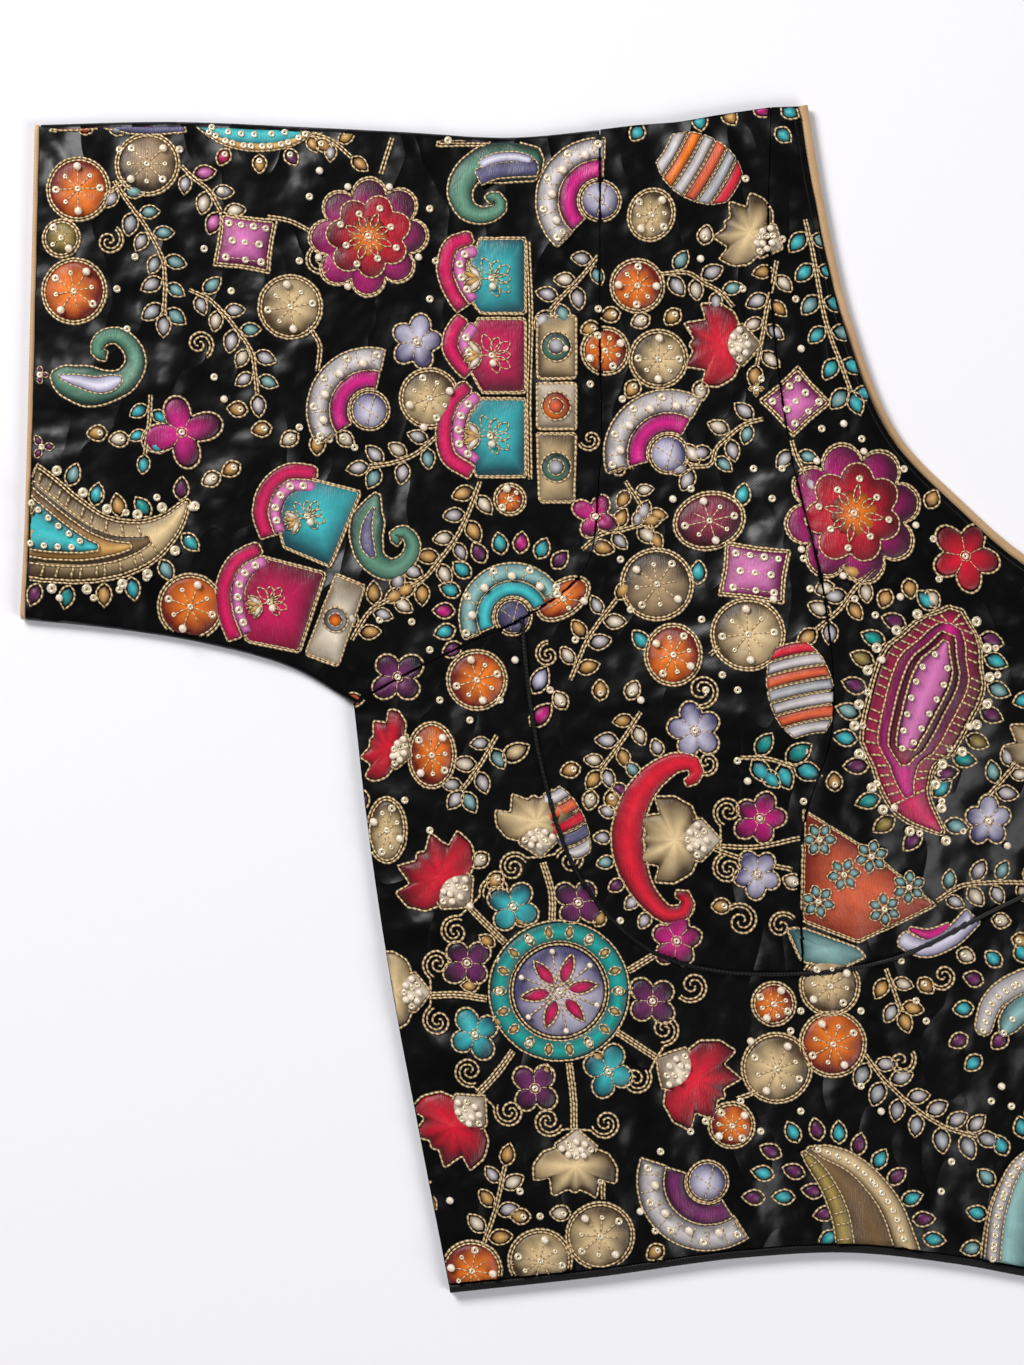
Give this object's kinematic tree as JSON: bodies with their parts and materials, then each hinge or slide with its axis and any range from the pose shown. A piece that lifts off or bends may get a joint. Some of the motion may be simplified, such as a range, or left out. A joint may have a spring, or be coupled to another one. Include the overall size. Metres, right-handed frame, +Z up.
{
  "type": "choli blouse",
  "caption": "Cropped choli blouse laid flat, with wide short sleeves, a deep piped neck, cupped front and bound hem.",
  "frame": {"origin": "on the surface the blouse lies on, midway across its width and midway between shoulders and hem", "axes": "+Z up off the surface, +Y from the hem to the shoulders, +X along the sleeve on the right as seen from above"},
  "size_m": [0.698, 0.3804, 0.0241],
  "materials": {
    "black_satin": "black satin, soft crumpled sheen, with coloured padded applique, gold cord, sequins and pearls",
    "black_cord": "black satin-covered piping cord",
    "gold_satin": "beige-gold satin piping"
  },
  "bodies": {
    "root": {"back_left": "black_satin", "back_placket": "black_satin", "back_right": "black_satin", "cup_centre_left": "black_satin", "cup_centre_right": "black_satin", "cup_piping_left": "black_cord", "cup_piping_right": "black_cord", "cup_side_left": "black_satin", "cup_side_right": "black_satin", "front_band": "black_satin", "hem_binding_back_left": "black_satin", "hem_binding_back_right": "black_satin", "hem_binding_front": "black_satin", "neck_piping_back_left": "gold_satin", "neck_piping_back_right": "gold_satin", "neck_piping_front": "gold_satin", "sleeve_left": "black_satin", "sleeve_piping_left": "gold_satin", "sleeve_piping_right": "gold_satin", "sleeve_right": "black_satin"}
  },
  "joints": []
}
